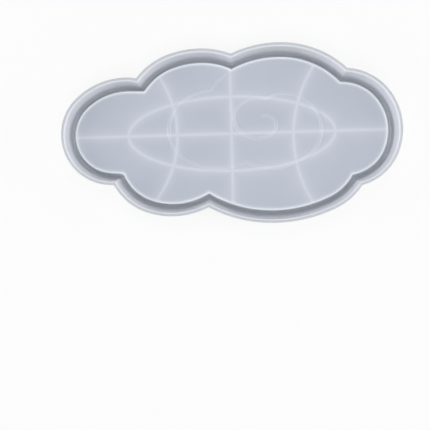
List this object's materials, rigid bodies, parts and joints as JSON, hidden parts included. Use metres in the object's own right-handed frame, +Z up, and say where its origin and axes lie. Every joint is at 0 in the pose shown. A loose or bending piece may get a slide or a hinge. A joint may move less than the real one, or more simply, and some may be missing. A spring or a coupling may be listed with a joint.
{
  "type": "resin casting mould",
  "caption": "Translucent silicone mould shaped like a cloud: a raised central deck ringed by a deep channel, with a curling raised line on the deck, for casting a shallow tray.",
  "frame": {"origin": "middle of the outline, on the face the mould rests on", "axes": "+X along the long direction of the cloud and its lengthwise rib, +Y across it towards the top notch, +Z up out of the open side"},
  "size_m": [0.2998, 0.157, 0.02],
  "materials": {
    "silicone": "translucent bluish-white platinum silicone, satin to matte with a soft sheen"
  },
  "bodies": {
    "root": {"rim_wall": "silicone", "channel_floor": "silicone", "deck_riser": "silicone", "deck_panel": "silicone", "tail_line_bead": "silicone", "left_cloud_line_bead": "silicone", "right_cloud_line_bead": "silicone", "spiral_line_bead": "silicone", "lengthwise_rib": "silicone", "crosswise_rib": "silicone", "left_arc_rib": "silicone", "right_arc_rib": "silicone", "oval_rib": "silicone"}
  },
  "joints": []
}
